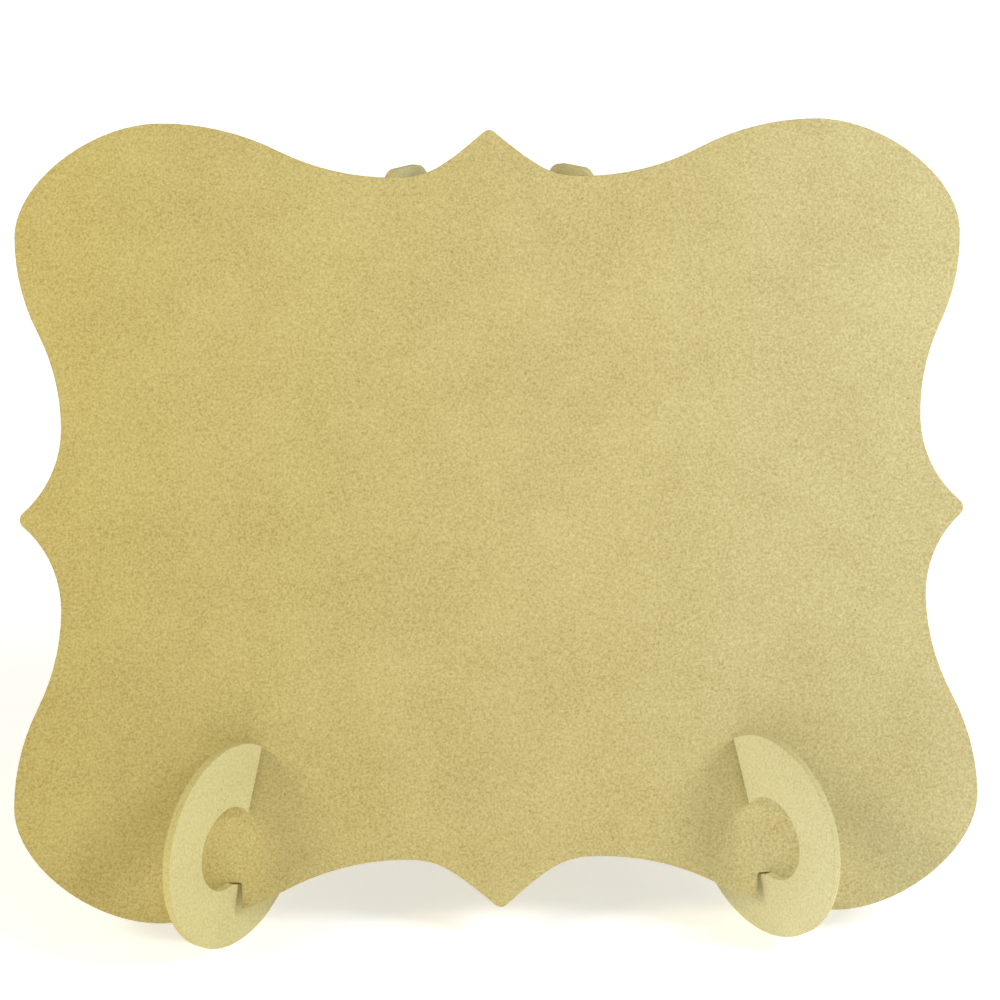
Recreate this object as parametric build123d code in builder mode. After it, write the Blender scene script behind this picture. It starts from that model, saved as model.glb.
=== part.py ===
"""Blank wooden plaque on a slot-together stand.

A bracket-shaped board leans back on two upright leg plates. The legs cross behind the board in a
half-height lap joint. Each leg comes forward through a slot in the board's bottom edge and ends in a
round hook, whose notch holds the board. Its rear edge follows the board's back up to a rounded post.

Millimetres. X is across the board, +Y points to the back and +Z is up. The origin is on the table,
under the middle of the whole object.
"""

from build123d import *
from math import cos, radians, sin, sqrt, tan
import os

LEFT = -1
RIGHT = 1

# ---- driving dimensions: board stock and fits ---------------------------------------------------
board = 2.5              # thickness of the sheet that all three pieces are cut from
seat_gap = 0.3           # play between the plaque and each leg, on every side
lap_gap = 0.15           # play on each side of the leg lap joint

# ---- driving dimensions: plaque outline, one quarter, measured from its own centre --------------
plaque_width = 300.0     # over the side lobes
plaque_height = 250.4    # over the top and bottom lobes
lobe_run_x = 45.6        # from the side of a lobe in to its crown
lobe_run_z = 36.1        # from the crown of a lobe down to its side
lobe_fullness = 0.48     # handle length of the lobe's corner curve, as a share of its run
waist_depth = 14.5       # how far the waist lies inside the side lobes
waist_height = 28.3      # waist above and below the middle
valley_depth = 18.0      # how far the valley lies inside the top lobes
valley_reach = 30.2      # valley to the left and right of the middle
top_point_drop = 2.1     # sharp top point below the top lobes, before it is rounded
top_point_slope = 41.0   # degrees the point's flanks climb where they would meet
flank_foot = 0.34        # handle length of a flank's curve at the valley, as a share of the valley's reach
flank_head = 0.70        # the same at the top point
side_point_radius = 2.9
top_point_radius = 2.6

# ---- driving dimensions: how the pieces stand ---------------------------------------------------
lean = 21.4              # degrees the plaque leans back
splay = 31.1             # degrees each leg turns out from straight ahead
lobe_clearance = 9.1     # front face's bottom lobes above the table

# ---- driving dimensions: leg plates, measured forward from the lap axis -------------------------
seat_reach = 161.0       # lap axis to the plaque's front face, where the plaque seats
seat_height = 20.0       # notch's bottom where it meets the plaque's front face
hook_radius = 34.4       # round hook; its lowest point is a foot
hook_setback = 3.6       # centre of the hook, behind the seat
ring_hole_lead = 2.4     # centre of the hook's hole, ahead of the seat
ring_hole_height = 33.5
ring_hole_radius = 13.0
hook_crown_bearing = 17.8  # degrees above level where the rim turns from its circle to a tighter arc
hook_tip_drop = 9.1      # tip of the hook, at the plaque, below the top of the circle
hook_tip_radius = 0.8
slot_corner_radius = 1.0
post_rise = 1.6          # top of the post above the plaque's top valleys
post_width = 22.5
post_front_radius = 6.0
post_back_radius = 7.5
post_straight = 75.0     # straight part of the post's rear edge
tail_length = 28.0       # leg behind the lap axis
tail_height = 55.0
tail_radius = 8.0
tail_foot_radius = 3.0
rear_foot_front = 26.0   # front end of the flat rear foot
arch_height = 30.0       # underside of the leg above the table
arch_radius = 20.0
arch_hook_radius = 10.0
lap_height = 35.0        # height at which the two half slots of the lap joint meet

# ---- places that follow from the sizes above ----------------------------------------------------
lean_rad = radians(lean)
splay_rad = radians(splay)
half_board = board / 2
board_across = board / cos(lean_rad)            # plaque thickness, measured level
seat_slope = cos(splay_rad) * tan(lean_rad)     # climb of the notch's bottom along the leg

half_width = plaque_width / 2
half_height = plaque_height / 2
valley_rise = half_height - valley_depth
plaque_centre_z = lobe_clearance + half_height * cos(lean_rad)
post_height = plaque_centre_z + valley_rise * cos(lean_rad) + post_rise

hook_reach = seat_reach - hook_setback
ring_hole_reach = seat_reach + ring_hole_lead
lap_y = (hook_reach + hook_radius - tail_length) * cos(splay_rad) / 2
seat_y = lap_y - seat_reach * cos(splay_rad)


def nearest(vertices, place):
    """The corner of an outline that lies nearest to a place."""
    return vertices.sort_by_distance(Vector(*place))[0]


def front_y(height):
    """Y of the plaque's front face at a height above the table."""
    return seat_y + (height - seat_height) * tan(lean_rad)


def notch_front(height):
    """Distance forward of the lap axis of the notch's front wall at a height."""
    face = (lap_y - front_y(height)) / cos(splay_rad)
    return face + half_board * tan(splay_rad) + seat_gap


def notch_back(height):
    """Distance forward of the lap axis of the notch's rear wall at a height."""
    face = (lap_y - front_y(height) - board_across) / cos(splay_rad)
    return face - half_board * tan(splay_rad) - seat_gap


def seat_corner(wall):
    """Where the notch's bottom, square to the plaque, meets one of the notch's walls."""
    wall_slope = (wall(seat_height) - wall(0)) / seat_height
    rise = seat_slope * (wall(seat_height) - seat_reach) / (1 - seat_slope * wall_slope)
    return (wall(seat_height + rise), seat_height + rise)


# ---- plaque -------------------------------------------------------------------------------------
side_point = (half_width, 0)
waist = (half_width - waist_depth, waist_height)
lobe_side = (half_width, half_height - lobe_run_z)
lobe_crown = (half_width - lobe_run_x, half_height)
valley = (valley_reach, valley_rise)
top_point = (0, half_height - top_point_drop)

side_swing = ((waist[0] + lobe_side[0]) / 2, (waist[1] + lobe_side[1]) / 2)
top_swing = ((valley[0] + lobe_crown[0]) / 2, (valley[1] + lobe_crown[1]) / 2)
flank_run = flank_head * valley_reach
flank_handles = (
    (valley_reach * (1 - flank_foot), valley_rise),
    (
        flank_run * cos(radians(top_point_slope)),
        top_point[1] - flank_run * sin(radians(top_point_slope)),
    ),
)
lobe_handles = (
    (lobe_side[0], lobe_side[1] + lobe_fullness * lobe_run_z),
    (lobe_crown[0] + lobe_fullness * lobe_run_x, lobe_crown[1]),
)

# A slot's upright inner wall clears its leg at the board's back face, level with the seat. Its outer
# wall follows the leg down the front face, where the leg stands further out the lower it is.
leg_half_cut = half_board / cos(splay_rad) + seat_gap
seat_back_y = seat_y + board * cos(lean_rad)
slot_inner = (lap_y - seat_back_y) * tan(splay_rad) - leg_half_cut
slot_top = (seat_height - plaque_centre_z) / cos(lean_rad) + seat_gap


def slot_outer(rise):
    """X of a slot's outer wall at a rise above the plaque's centre."""
    return (lap_y - front_y(plaque_centre_z + rise * cos(lean_rad))) * tan(splay_rad) + leg_half_cut


slot_corners = (
    (slot_inner, slot_top),
    (slot_outer(slot_top), slot_top),
    (slot_outer(-half_height), -half_height),
    (slot_inner, -half_height),
)

front_face = Plane(
    origin=(0, front_y(plaque_centre_z), plaque_centre_z),
    x_dir=(1, 0, 0),
    z_dir=(0, -cos(lean_rad), sin(lean_rad)),
)

with BuildPart() as plaque_panel:
    with BuildSketch(front_face) as plaque_outline:
        with BuildLine():
            TangentArc(waist, side_point, tangent=(0, -1))
            TangentArc(waist, side_swing, tangent=(0, 1))
            TangentArc(lobe_side, side_swing, tangent=(0, -1))
            Bezier(lobe_side, *lobe_handles, lobe_crown)
            TangentArc(lobe_crown, top_swing, tangent=(-1, 0))
            TangentArc(valley, top_swing, tangent=(1, 0))
            Bezier(valley, *flank_handles, top_point)
            mirror(about=Plane.YZ)
            mirror(about=Plane.XZ)
        make_face()
        corners = plaque_outline.vertices()
        fillet([nearest(corners, (-half_width, 0)), nearest(corners, side_point)], side_point_radius)
        corners = plaque_outline.vertices()
        fillet([nearest(corners, (0, -top_point[1])), nearest(corners, top_point)], top_point_radius)
        for side in (LEFT, RIGHT):
            with BuildLine():
                Polyline(*((side * x, rise) for x, rise in slot_corners), close=True)
            make_face(mode=Mode.SUBTRACT)
            corners = plaque_outline.vertices()
            fillet([nearest(corners, (side * x, slot_top)) for x, _ in slot_corners[:2]], slot_corner_radius)
    extrude(amount=-board)
plaque_panel.part.label = "plaque_panel"

# ---- legs ---------------------------------------------------------------------------------------
lap_width = board / tan(splay_rad) + 2 * lap_gap
post_front = notch_back(post_height)
post_back = post_front - post_width
clear_height = post_height + hook_radius        # above and ahead of everything on a leg
clear_reach = hook_reach + 2 * hook_radius
hook_tip_height = 2 * hook_radius - hook_tip_drop
hook_tip = (notch_front(hook_tip_height), hook_tip_height)
crown_out = (cos(radians(hook_crown_bearing)), sin(radians(hook_crown_bearing)))
crown_start = (hook_reach + hook_radius * crown_out[0], hook_radius + hook_radius * crown_out[1])

# What the plaque and the space above the hook take out of a leg, from the notch's seat upwards.
hook_mouth = (
    hook_tip,
    seat_corner(notch_front),
    seat_corner(notch_back),
    (notch_back(clear_height), clear_height),
    (clear_reach, clear_height),
    (clear_reach, crown_start[1]),
    crown_start,
)


def leg_plane(side):
    """Upright plane through the lap axis: X runs forward along the leg, Y runs up."""
    return Plane(
        origin=(0, lap_y, 0),
        x_dir=(side * sin(splay_rad), -cos(splay_rad), 0),
        z_dir=(-cos(splay_rad), -side * sin(splay_rad), 0),
    )


legs = {}
for name, side in (("left_leg", LEFT), ("right_leg", RIGHT)):
    with BuildPart() as leg:
        with BuildSketch(leg_plane(side)) as profile:
            with BuildLine():
                Polyline(
                    (-tail_length, tail_height),
                    (-tail_length, 0),
                    (rear_foot_front, 0),
                    (rear_foot_front, arch_height),
                    (hook_reach, arch_height),
                    (hook_reach, post_height),
                    (post_back, post_height),
                    (post_back, post_height - post_straight),
                )
                TangentArc((post_back, post_height - post_straight), (-tail_length, tail_height), tangent=(0, -1))
            make_face()
            with Locations((hook_reach, hook_radius)):
                Circle(hook_radius)
            with BuildLine():
                Polyline(*hook_mouth)
                TangentArc(crown_start, hook_tip, tangent=(-crown_out[1], crown_out[0]))
            make_face(mode=Mode.SUBTRACT)
            # Rounded corners, each found by where the sharp corner lies.
            hook_rear = hook_reach - sqrt(hook_radius**2 - (hook_radius - arch_height) ** 2)
            for place, radius in (
                ((-tail_length, tail_height), tail_radius),
                ((-tail_length, 0), tail_foot_radius),
                ((rear_foot_front, 0), tail_foot_radius),
                ((rear_foot_front, arch_height), arch_radius),
                ((hook_rear, arch_height), arch_hook_radius),
                ((post_front, post_height), post_front_radius),
                ((post_back, post_height), post_back_radius),
                (hook_tip, hook_tip_radius),
            ):
                fillet(nearest(profile.vertices(), place), radius)
            with Locations((ring_hole_reach, ring_hole_height)):
                Circle(ring_hole_radius, mode=Mode.SUBTRACT)
            # The left leg's lap slot is open at the top and the right leg's at the bottom.
            if side == LEFT:
                lap_slot_middle = lap_height + clear_height / 2
            else:
                lap_slot_middle = lap_height + lap_gap - clear_height / 2
            with Locations((0, lap_slot_middle)):
                Rectangle(lap_width, clear_height, mode=Mode.SUBTRACT)
        extrude(amount=half_board, both=True)
    leg.part.label = name
    legs[name] = leg

os.makedirs("parts", exist_ok=True)
for piece in (plaque_panel, *legs.values()):
    export_step(piece.part, f"parts/{piece.part.label}.step")
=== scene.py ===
"""Visual model of a blank fibreboard plaque on its slot-together stand.

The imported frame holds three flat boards: the plaque and two crossed leg plates. Each one is rebuilt
here as a single merged mesh with softened arrises, and dressed as raw medium-density fibreboard. All
sizes are in metres, in the frame's own axes: +X across the plaque, +Y to the back and +Z up.
"""

import logging
import math
from dataclasses import dataclass, field
from enum import Enum

import bpy
from mathutils import Matrix, Vector

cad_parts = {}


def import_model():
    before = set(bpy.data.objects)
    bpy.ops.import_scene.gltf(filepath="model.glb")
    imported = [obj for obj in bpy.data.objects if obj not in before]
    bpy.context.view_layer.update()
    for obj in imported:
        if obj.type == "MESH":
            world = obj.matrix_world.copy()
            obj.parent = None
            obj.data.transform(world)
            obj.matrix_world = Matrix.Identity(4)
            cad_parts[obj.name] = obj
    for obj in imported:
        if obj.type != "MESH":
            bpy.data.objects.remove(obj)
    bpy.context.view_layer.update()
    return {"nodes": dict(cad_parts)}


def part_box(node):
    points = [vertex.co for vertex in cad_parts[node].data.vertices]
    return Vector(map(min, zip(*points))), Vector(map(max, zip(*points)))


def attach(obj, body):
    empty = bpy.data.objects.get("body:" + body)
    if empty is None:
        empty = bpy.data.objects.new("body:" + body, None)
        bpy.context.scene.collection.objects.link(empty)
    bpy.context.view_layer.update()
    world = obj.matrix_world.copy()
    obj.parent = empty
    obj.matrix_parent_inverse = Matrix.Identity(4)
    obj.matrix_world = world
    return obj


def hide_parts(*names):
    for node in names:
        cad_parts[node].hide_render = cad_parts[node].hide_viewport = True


LOG = logging.getLogger("plaque")
MM = 0.001


class Surface(Enum):
    """Which surface of a sheet a finish is for."""

    FACE = "pressed and sanded face"
    CUT_EDGE = "cut edge"


def linear(hex_colour: str) -> tuple[float, float, float, float]:
    """Turn an sRGB hex colour into linear values.

    Args:
        hex_colour: Six hex digits, with or without a leading hash.

    Returns:
        Red, green, blue and alpha, each from 0 to 1.
    """
    digits = hex_colour.lstrip("#")
    channels = [int(digits[i:i + 2], 16) / 255 for i in (0, 2, 4)]
    values = [c / 12.92 if c <= 0.04045 else ((c + 0.055) / 1.055) ** 2.4 for c in channels]
    return (values[0], values[1], values[2], 1.0)


def add_node(
    tree: bpy.types.NodeTree,
    kind: str,
    settings: dict[str, object] | None = None,
    inputs: dict[str | int, object] | None = None,
) -> bpy.types.Node:
    """Add a shader node with its settings, values and links.

    Args:
        tree: Node tree that takes the node.
        kind: Blender's name for the node's type.
        settings: Attributes to set on the node.
        inputs: Value, or output socket to link from, for each named or numbered input.

    Returns:
        The new node.
    """
    node = tree.nodes.new(kind)
    for name, value in (settings or {}).items():
        setattr(node, name, value)
    for key, value in (inputs or {}).items():
        if isinstance(value, bpy.types.NodeSocket):
            tree.links.new(value, node.inputs[key])
        else:
            node.inputs[key].default_value = value
    return node


@dataclass(frozen=True)
class Fibreboard:
    """Raw medium-density fibreboard, a matt felt of fine pale wood fibres pressed with resin.

    The eye sees a warm straw colour with no grain, a salt-and-pepper speckle of single fibres, a
    slow cloudiness where the mat was denser, and rare dark flecks of bark. A cut edge shows the
    looser core: thin layers along the sheet, a rougher nap and a slightly deeper tone.

    Attributes:
        name: Name of the material.
        surface: Whether this is the sanded face or a cut edge.
        pale: Lightest fibre colour, sRGB hex.
        mid: Body colour, sRGB hex.
        dark: Darkest fibre colour, sRGB hex.
        fleck: Colour of a bark fleck, sRGB hex.
        painted_shade_left: Share of red, green and blue that the left end gives back; painted shade,
            darker and yellower.
        painted_light_right: The same for the right end; painted light, paler and cooler.
        drift_mm: Where those two ends lie, to the left and right of the middle.
        sheet_normal: Direction through the sheet, for the layers that show along an edge.
        fibre_mm: Size of one speckle.
        cloud_mm: Size of one cloud.
        layer_mm: Spacing of the layers along a cut edge.
        layer_run: Length of a layer, in spacings.
        nap_mm: Height of the fibres that stand up from the surface.
        nap_strength: How strongly the nap turns the light.
        cloud_share: How much of the speckle the clouds take over.
        layer_share: How much of a cut edge's speckle the layers take over.
        fleck_grid_mm: Mean distance between places where a fleck may lie.
        fleck_core: Radius of a fleck's solid middle, as a share of that distance.
        fleck_rim: Radius at which a fleck has faded out, likewise.
        fleck_rarity: Share of the places that stay empty.
        fleck_strength: How much of a fleck's colour shows.
        ramp_ends: Speckle values that take the darkest and the lightest colour.
        face_roughness: Roughness of the sanded face.
        edge_roughness: Roughness of a cut edge.
    """

    name: str
    surface: Surface
    pale: str = "#d2c389"
    mid: str = "#c1b076"
    dark: str = "#a8945a"
    fleck: str = "#7d6433"
    # Painted light and shade across the boards: the left end is shaded darker and yellower, the right
    # end lit paler and cooler.
    painted_shade_left: tuple[float, float, float] = (0.92, 0.92, 0.72)
    painted_light_right: tuple[float, float, float] = (1.03, 1.10, 1.24)
    drift_mm: float = 150.0
    sheet_normal: tuple[float, float, float] = (0.0, 0.0, 1.0)
    fibre_mm: float = 0.75
    cloud_mm: float = 22.0
    layer_mm: float = 0.45
    layer_run: float = 40.0
    nap_mm: float = 0.02
    nap_strength: float = 0.6
    cloud_share: float = 0.16
    layer_share: float = 0.35
    fleck_grid_mm: float = 6.0
    fleck_core: float = 0.035
    fleck_rim: float = 0.075
    fleck_rarity: float = 0.72
    fleck_strength: float = 0.55
    ramp_ends: tuple[float, float] = (0.30, 0.70)
    face_roughness: float = 0.82
    edge_roughness: float = 0.92

    def build(self) -> bpy.types.Material:
        """Make the material.

        Returns:
            A node material on Object coordinates.
        """
        material = bpy.data.materials.new(self.name)
        material.use_nodes = True
        tree = material.node_tree
        tree.nodes.clear()
        place = add_node(tree, "ShaderNodeTexCoord").outputs["Object"]

        fibres = self._noise(tree, place, self.fibre_mm, detail=3.0, roughness=0.62)
        clouds = self._noise(tree, place, self.cloud_mm, detail=2.0, roughness=0.5)
        felt = self._mix_value(tree, fibres, clouds, self.cloud_share)
        if self.surface is Surface.CUT_EDGE:
            felt = self._mix_value(tree, felt, self._layers(tree, place), self.layer_share)
        ramp = add_node(tree, "ShaderNodeValToRGB", inputs={"Fac": felt})
        self._paint_ramp(ramp.color_ramp)
        # Painted light and shade across the boards, darker and yellower on the left, paler and cooler
        # on the right.
        drifted = self._drift(tree, place, ramp.outputs["Color"])
        flecked = self._flecks(tree, place, drifted)

        nap = add_node(
            tree,
            "ShaderNodeBump",
            inputs={"Strength": self.nap_strength, "Distance": self.nap_mm * MM, "Height": felt},
        )
        rough = self.edge_roughness if self.surface is Surface.CUT_EDGE else self.face_roughness
        shader = add_node(
            tree,
            "ShaderNodeBsdfPrincipled",
            inputs={
                "Base Color": flecked,
                "Roughness": rough,
                "IOR": 1.45,
                "Specular IOR Level": 0.28,
                "Sheen Weight": 0.06,
                "Sheen Roughness": 0.6,
                "Normal": nap.outputs["Normal"],
            },
        )
        add_node(tree, "ShaderNodeOutputMaterial", inputs={"Surface": shader.outputs["BSDF"]})
        return material

    def _noise(
        self,
        tree: bpy.types.NodeTree,
        place: bpy.types.NodeSocket,
        size_mm: float,
        detail: float,
        roughness: float,
    ) -> bpy.types.NodeSocket:
        """Add a noise whose features are about one real size.

        Args:
            tree: Node tree that takes the nodes.
            place: Coordinates in metres.
            size_mm: Size of a feature.
            detail: Octaves below the main one.
            roughness: Share of each finer octave.

        Returns:
            The noise's factor, from 0 to 1.
        """
        noise = add_node(
            tree,
            "ShaderNodeTexNoise",
            inputs={
                "Vector": place,
                "Scale": 1 / (size_mm * MM),
                "Detail": detail,
                "Roughness": roughness,
            },
        )
        return noise.outputs["Fac"]

    def _mix_value(
        self,
        tree: bpy.types.NodeTree,
        first: bpy.types.NodeSocket,
        second: bpy.types.NodeSocket,
        share: float,
    ) -> bpy.types.NodeSocket:
        """Blend two values.

        Args:
            tree: Node tree that takes the node.
            first: Value at share 0.
            second: Value at share 1.
            share: How much of the second shows.

        Returns:
            The blended value.
        """
        mix = add_node(
            tree,
            "ShaderNodeMix",
            {"data_type": "FLOAT"},
            {"Factor": share, "A": first, "B": second},
        )
        return mix.outputs["Result"]

    def _layers(self, tree: bpy.types.NodeTree, place: bpy.types.NodeSocket) -> bpy.types.NodeSocket:
        """Add the thin layers that run along a cut edge.

        Args:
            tree: Node tree that takes the nodes.
            place: Coordinates in metres.

        Returns:
            A value from 0 to 1 that changes through the sheet and hardly along it.
        """
        depth = add_node(
            tree,
            "ShaderNodeVectorMath",
            {"operation": "DOT_PRODUCT"},
            {0: place, 1: self.sheet_normal},
        )
        along = add_node(
            tree,
            "ShaderNodeVectorMath",
            {"operation": "SCALE"},
            {0: place, "Scale": 1 / (self.layer_run * self.layer_mm * MM)},
        )
        across = add_node(
            tree,
            "ShaderNodeMath",
            {"operation": "MULTIPLY"},
            {0: depth.outputs["Value"], 1: 1 / (self.layer_mm * MM)},
        )
        layered = add_node(
            tree,
            "ShaderNodeTexNoise",
            {"noise_dimensions": "4D"},
            {
                "Vector": along.outputs["Vector"],
                "W": across.outputs["Value"],
                "Scale": 1.0,
                "Detail": 2.0,
            },
        )
        return layered.outputs["Fac"]

    def _drift(
        self,
        tree: bpy.types.NodeTree,
        place: bpy.types.NodeSocket,
        body: bpy.types.NodeSocket,
    ) -> bpy.types.NodeSocket:
        """Paint shade on the darker, yellower left end and light on the paler, cooler right end.

        Args:
            tree: Node tree that takes the nodes.
            place: Coordinates in metres.
            body: Colour of the fibres.

        Returns:
            The drifted colour.
        """
        across = add_node(tree, "ShaderNodeSeparateXYZ", inputs={"Vector": place}).outputs["X"]
        share = add_node(
            tree,
            "ShaderNodeMapRange",
            inputs={"Value": across, "From Min": -self.drift_mm * MM, "From Max": self.drift_mm * MM},
        )
        # Painted light and shade: the left end darker and yellower, the right end paler and cooler.
        tone = add_node(
            tree,
            "ShaderNodeMix",
            {"data_type": "RGBA"},
            {"Factor": share.outputs["Result"], "A": (*self.painted_shade_left, 1.0), "B": (*self.painted_light_right, 1.0)},
        )
        toned = add_node(
            tree,
            "ShaderNodeMix",
            {"data_type": "RGBA", "blend_type": "MULTIPLY"},
            {"Factor": 1.0, "A": body, "B": tone.outputs["Result"]},
        )
        return toned.outputs["Result"]

    def _flecks(
        self,
        tree: bpy.types.NodeTree,
        place: bpy.types.NodeSocket,
        body: bpy.types.NodeSocket,
    ) -> bpy.types.NodeSocket:
        """Scatter rare dark flecks over a colour.

        Args:
            tree: Node tree that takes the nodes.
            place: Coordinates in metres.
            body: Colour without flecks.

        Returns:
            The flecked colour.
        """
        cells = add_node(
            tree,
            "ShaderNodeTexVoronoi",
            {"feature": "F1"},
            {"Vector": place, "Scale": 1 / (self.fleck_grid_mm * MM), "Randomness": 1.0},
        )
        near = add_node(
            tree,
            "ShaderNodeMapRange",
            inputs={
                "Value": cells.outputs["Distance"],
                "From Min": self.fleck_core,
                "From Max": self.fleck_rim,
                "To Min": 1.0,
                "To Max": 0.0,
            },
        )
        lot = add_node(tree, "ShaderNodeSeparateColor", inputs={"Color": cells.outputs["Color"]})
        chosen = add_node(
            tree,
            "ShaderNodeMath",
            {"operation": "GREATER_THAN"},
            {0: lot.outputs["Red"], 1: self.fleck_rarity},
        )
        share = add_node(
            tree,
            "ShaderNodeMath",
            {"operation": "MULTIPLY"},
            {0: near.outputs["Result"], 1: chosen.outputs["Value"]},
        )
        softened = add_node(
            tree,
            "ShaderNodeMath",
            {"operation": "MULTIPLY"},
            {0: share.outputs["Value"], 1: self.fleck_strength},
        )
        mix = add_node(
            tree,
            "ShaderNodeMix",
            {"data_type": "RGBA"},
            {"Factor": softened.outputs["Value"], "A": body, "B": linear(self.fleck)},
        )
        return mix.outputs["Result"]

    def _paint_ramp(self, ramp: bpy.types.ColorRamp) -> None:
        """Set the three fibre colours on a ramp.

        Args:
            ramp: Colour ramp to paint.
        """
        ramp.elements[0].position = self.ramp_ends[0]
        ramp.elements[0].color = linear(self.dark)
        ramp.elements[1].position = self.ramp_ends[1]
        ramp.elements[1].color = linear(self.pale)
        middle = ramp.elements.new(0.5)
        middle.color = linear(self.mid)


@dataclass
class Board:
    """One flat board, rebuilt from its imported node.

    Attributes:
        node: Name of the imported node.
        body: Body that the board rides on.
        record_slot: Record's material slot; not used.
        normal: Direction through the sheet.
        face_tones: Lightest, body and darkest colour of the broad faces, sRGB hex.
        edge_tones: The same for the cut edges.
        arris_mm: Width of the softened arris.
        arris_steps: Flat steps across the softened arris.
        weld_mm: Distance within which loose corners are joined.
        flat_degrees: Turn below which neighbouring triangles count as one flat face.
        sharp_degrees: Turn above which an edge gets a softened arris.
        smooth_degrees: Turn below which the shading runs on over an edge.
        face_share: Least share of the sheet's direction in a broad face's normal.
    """

    node: str
    body: str
    record_slot: str
    normal: Vector
    face_tones: tuple[str, str, str]
    edge_tones: tuple[str, str, str]
    arris_mm: float = 0.3
    arris_steps: int = 3
    weld_mm: float = 0.002
    flat_degrees: float = 1.0
    sharp_degrees: float = 40.0
    smooth_degrees: float = 35.0
    face_share: float = 0.8
    face_finish: Fibreboard = field(init=False)
    edge_finish: Fibreboard = field(init=False)

    def __post_init__(self) -> None:
        """Name the two finishes of the board."""
        through = tuple(self.normal)
        self.face_finish = Fibreboard(
            f"{self.node}_mdf_face", Surface.FACE, *self.face_tones, sheet_normal=through
        )
        self.edge_finish = Fibreboard(
            f"{self.node}_mdf_cut_edge", Surface.CUT_EDGE, *self.edge_tones, sheet_normal=through
        )

    def build(self, source: bpy.types.Object) -> bpy.types.Object:
        """Copy the node's mesh, merge it, soften its arrises and dress it.

        Args:
            source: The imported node's object.

        Returns:
            The finished board.
        """
        piece = bpy.data.objects.new(f"{self.node}_board", source.data.copy())
        bpy.context.scene.collection.objects.link(piece)
        self._merge(piece)
        self._soften(piece)
        self._dress(piece)
        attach(piece, self.body)
        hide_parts(self.node)
        LOG.info("%s: %d faces", piece.name, len(piece.data.polygons))
        return piece

    def _merge(self, piece: bpy.types.Object) -> None:
        """Join the loose triangles of the copy into clean flat faces.

        Args:
            piece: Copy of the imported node.
        """
        select_only(piece)
        bpy.ops.object.mode_set(mode="EDIT")
        bpy.ops.mesh.select_all(action="SELECT")
        bpy.ops.mesh.remove_doubles(threshold=self.weld_mm * MM)
        bpy.ops.mesh.dissolve_limited(angle_limit=math.radians(self.flat_degrees))
        bpy.ops.object.mode_set(mode="OBJECT")

    def _soften(self, piece: bpy.types.Object) -> None:
        """Round every sharp arris a little, as a light sanding does.

        Args:
            piece: Merged board.
        """
        select_only(piece)
        bevel = piece.modifiers.new("arris", "BEVEL")
        bevel.width = self.arris_mm * MM
        bevel.segments = self.arris_steps
        bevel.limit_method = "ANGLE"
        bevel.angle_limit = math.radians(self.sharp_degrees)
        bevel.harden_normals = False
        bpy.ops.object.modifier_apply(modifier=bevel.name)
        bpy.ops.object.shade_smooth_by_angle(angle=math.radians(self.smooth_degrees))

    def _dress(self, piece: bpy.types.Object) -> None:
        """Give the broad faces and the cut edges their own finish.

        Args:
            piece: Softened board.
        """
        piece.data.materials.clear()
        piece.data.materials.append(self.face_finish.build())
        piece.data.materials.append(self.edge_finish.build())
        for polygon in piece.data.polygons:
            on_face = abs(polygon.normal.dot(self.normal)) > self.face_share
            polygon.material_index = 0 if on_face else 1


@dataclass
class PlaquePanel(Board):
    """The blank plaque, which leans in the notches of the two legs."""

    node: str = "plaque_panel"
    body: str = "plaque"
    record_slot: str = "plaque_board"
    normal: Vector = field(default_factory=Vector)
    face_tones: tuple[str, str, str] = ("#d2c389", "#c1b076", "#a8945a")
    edge_tones: tuple[str, str, str] = ("#d6c488", "#c3ae6f", "#a18a4d")


@dataclass
class Leg(Board):
    """One leg plate of the stand, a little paler than the plaque."""

    node: str = "left_leg"
    body: str = "stand"
    record_slot: str = "leg_board"
    normal: Vector = field(default_factory=Vector)
    face_tones: tuple[str, str, str] = ("#dad0a2", "#d0c592", "#c0b27c")
    edge_tones: tuple[str, str, str] = ("#dccf9a", "#cdbe84", "#b29e5e")


def select_only(piece: bpy.types.Object) -> None:
    """Deselect everything else and make one object active.

    Args:
        piece: Object to select.
    """
    bpy.ops.object.select_all(action="DESELECT")
    piece.select_set(True)
    bpy.context.view_layer.objects.active = piece


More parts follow.
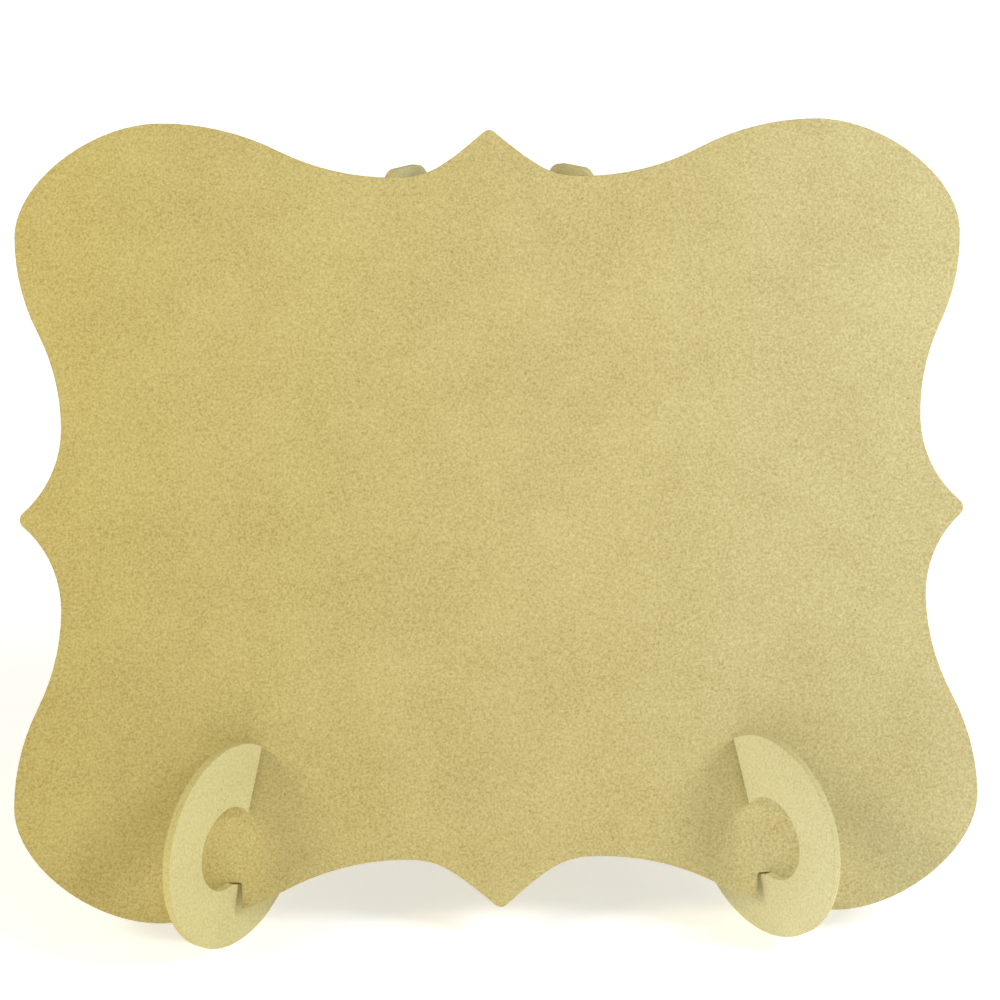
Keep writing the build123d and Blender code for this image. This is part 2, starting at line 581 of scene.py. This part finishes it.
@dataclass(frozen=True)
class Studio:
    """Plain pale floor, soft light from both sides and the camera.

    Attributes:
        distance: Camera to its aim.
        pitch: Degrees the camera looks down.
        yaw: Degrees the camera stands to the left of straight ahead.
        roll: Degrees the camera is turned about its view.
        aim_x: Aim, to the right of the plaque's middle.
        aim_z: Aim, above the plaque's middle.
        lens_mm: Focal length.
        floor_colour: Colour of the floor, sRGB hex.
        glow_near: Light given off by the floor near the object.
        glow_far: The same far behind it.
        glow_near_m: Distance at which the near glow ends.
        glow_far_m: Distance at which the far glow is reached.
        sweep_low: Degrees above the horizon up to which the surround is white.
        sweep_high: Degrees above the horizon from which it has its overhead level.
        overhead: Level of the surround's light overhead.
        lamp_side: Distance of each lamp to the left or right.
        lamp_front: Distance of each lamp in front.
        lamp_height: Height of each lamp above the floor.
        lamp_size: Side of each square lamp.
        right_watts: Power of the right lamp.
        left_watts: Power of the left lamp.
        right_colour: Colour of the right lamp, sRGB hex.
        left_colour: Colour of the left lamp, sRGB hex.
        floor_size: Side of the floor.
        floor_roughness: Roughness of the floor.
        frame_mm: Width of the camera's frame.
    """

    distance: float = 0.6
    pitch: float = 17.72
    yaw: float = 1.79
    roll: float = -0.25
    aim_x: float = 0.0016
    aim_z: float = 0.0044
    lens_mm: float = 68.93
    floor_colour: str = "#fafafa"
    glow_near: float = 0.48
    glow_far: float = 0.84
    glow_near_m: float = 0.25
    glow_far_m: float = 0.9
    sweep_low: float = 10.0
    sweep_high: float = 26.0
    overhead: float = 0.2
    lamp_side: float = 0.80
    lamp_front: float = 0.42
    lamp_height: float = 0.75
    lamp_size: float = 0.35
    right_watts: float = 6.3
    left_watts: float = 4.95
    right_colour: str = "#f3f6ff"
    left_colour: str = "#fff3d6"
    floor_size: float = 40.0
    floor_roughness: float = 0.9
    frame_mm: float = 36.0

    def build(self, middle: Vector) -> None:
        """Make the floor, the lights and the camera.

        Args:
            middle: Middle of the plaque's front face.
        """
        self._floor()
        self._world()
        right = Vector((self.lamp_side, -self.lamp_front, self.lamp_height))
        left = Vector((-self.lamp_side, -self.lamp_front, self.lamp_height))
        self._light("soft_right", right, middle, self.right_watts, self.right_colour)
        self._light("soft_left", left, middle, self.left_watts, self.left_colour)
        self._camera(middle)

    def _floor(self) -> None:
        """Make the floor, which isn't part of the object."""
        bpy.ops.object.select_all(action="DESELECT")
        bpy.ops.mesh.primitive_plane_add(size=self.floor_size, location=(0, 0, 0))
        floor = bpy.context.active_object
        floor.name = "studio_floor"
        paint = bpy.data.materials.new("studio_floor_paint")
        paint.use_nodes = True
        shader = paint.node_tree.nodes["Principled BSDF"]
        shader.inputs["Base Color"].default_value = linear(self.floor_colour)
        shader.inputs["Roughness"].default_value = self.floor_roughness
        shader.inputs["Emission Color"].default_value = (1, 1, 1, 1)
        place = add_node(paint.node_tree, "ShaderNodeTexCoord").outputs["Object"]
        away = add_node(paint.node_tree, "ShaderNodeVectorMath", {"operation": "LENGTH"}, {0: place})
        glow = add_node(
            paint.node_tree,
            "ShaderNodeMapRange",
            inputs={
                "Value": away.outputs["Value"],
                "From Min": self.glow_near_m,
                "From Max": self.glow_far_m,
                "To Min": self.glow_near,
                "To Max": self.glow_far,
            },
        )
        paint.node_tree.links.new(glow.outputs["Result"], shader.inputs["Emission Strength"])
        floor.data.materials.append(paint)

    def _world(self) -> None:
        """Surround the scene with white light, brightest along the horizon as in a paper sweep."""
        world = bpy.data.worlds.new("studio_world")
        world.use_nodes = True
        background = world.node_tree.nodes["Background"]
        background.inputs["Color"].default_value = (1, 1, 1, 1)
        bearing = add_node(world.node_tree, "ShaderNodeTexCoord").outputs["Generated"]
        height = add_node(world.node_tree, "ShaderNodeSeparateXYZ", inputs={"Vector": bearing})
        sweep = add_node(
            world.node_tree,
            "ShaderNodeMapRange",
            {"interpolation_type": "SMOOTHSTEP"},
            {
                "Value": height.outputs["Z"],
                "From Min": math.sin(math.radians(self.sweep_low)),
                "From Max": math.sin(math.radians(self.sweep_high)),
                "To Min": 1.0,
                "To Max": self.overhead,
            },
        )
        world.node_tree.links.new(sweep.outputs["Result"], background.inputs["Strength"])
        bpy.context.scene.world = world
        bpy.context.scene.view_settings.view_transform = "Standard"

    def _light(self, name: str, place: Vector, aim: Vector, power: float, colour: str) -> None:
        """Add one square soft light.

        Args:
            name: Name of the light.
            place: Where it stands.
            aim: What it points at.
            power: Watts.
            colour: Light colour, sRGB hex.
        """
        data = bpy.data.lights.new(name, "AREA")
        data.size = self.lamp_size
        data.energy = power
        data.color = linear(colour)[:3]
        lamp = bpy.data.objects.new(name, data)
        lamp.location = place
        lamp.rotation_euler = (aim - place).to_track_quat("-Z", "Y").to_euler()
        bpy.context.scene.collection.objects.link(lamp)

    def _camera(self, middle: Vector) -> None:
        """Add the camera and make it the scene's own.

        Args:
            middle: Middle of the plaque's front face.
        """
        aim = middle + Vector((self.aim_x, 0, self.aim_z))
        pitch, yaw, roll = (math.radians(v) for v in (self.pitch, self.yaw, self.roll))
        level = math.cos(pitch)
        forward = Vector((math.sin(yaw) * level, math.cos(yaw) * level, -math.sin(pitch)))
        right = Vector((math.cos(yaw), -math.sin(yaw), 0))
        up = right.cross(forward)
        rolled_right = right * math.cos(roll) + up * math.sin(roll)
        rolled_up = up * math.cos(roll) - right * math.sin(roll)
        turn = Matrix((rolled_right, rolled_up, -forward)).transposed()
        data = bpy.data.cameras.new("camera")
        data.sensor_width = self.frame_mm
        data.lens = self.lens_mm
        camera = bpy.data.objects.new("camera", data)
        camera.matrix_world = Matrix.Translation(aim - forward * self.distance) @ turn.to_4x4()
        bpy.context.scene.collection.objects.link(camera)
        bpy.context.scene.camera = camera


def broad_normal(source: bpy.types.Object) -> Vector:
    """Find the direction through a flat board.

    Args:
        source: Object whose largest flat area is the board's face.

    Returns:
        Unit normal of the board's faces.
    """
    sums: dict[tuple[float, float, float], float] = {}
    for polygon in source.data.polygons:
        key = tuple(round(abs(c), 3) for c in polygon.normal)
        sums[key] = sums.get(key, 0.0) + polygon.area
    best = max(sums, key=lambda k: sums[k])
    largest = max(
        (p for p in source.data.polygons if tuple(round(abs(c), 3) for c in p.normal) == best),
        key=lambda p: p.area,
    )
    return largest.normal.copy().normalized()


def front_middle(plaque: bpy.types.Object, normal: Vector) -> Vector:
    """Find the middle of the plaque's front face.

    Args:
        plaque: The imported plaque.
        normal: Direction through the plaque.

    Returns:
        The point on the front face above the middle of its outline.
    """
    outward = -normal if normal.y > 0 else normal
    reach = max(v.co.dot(outward) for v in plaque.data.vertices)
    low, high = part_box("plaque_panel")
    middle = (low + high) / 2
    return middle + outward * (reach - middle.dot(outward))


def main() -> None:
    """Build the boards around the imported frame, then the studio."""
    logging.basicConfig(level=logging.INFO, format="%(name)s: %(message)s")
    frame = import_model()
    nodes = frame["nodes"]
    plaque = PlaquePanel(normal=broad_normal(nodes["plaque_panel"]))
    boards = (
        plaque,
        Leg("left_leg", normal=broad_normal(nodes["left_leg"])),
        Leg("right_leg", normal=broad_normal(nodes["right_leg"])),
    )
    middle = front_middle(nodes[plaque.node], plaque.normal)
    for board in boards:
        board.build(nodes[board.node])
    Studio().build(middle)


if __name__ == "__main__":
    main()
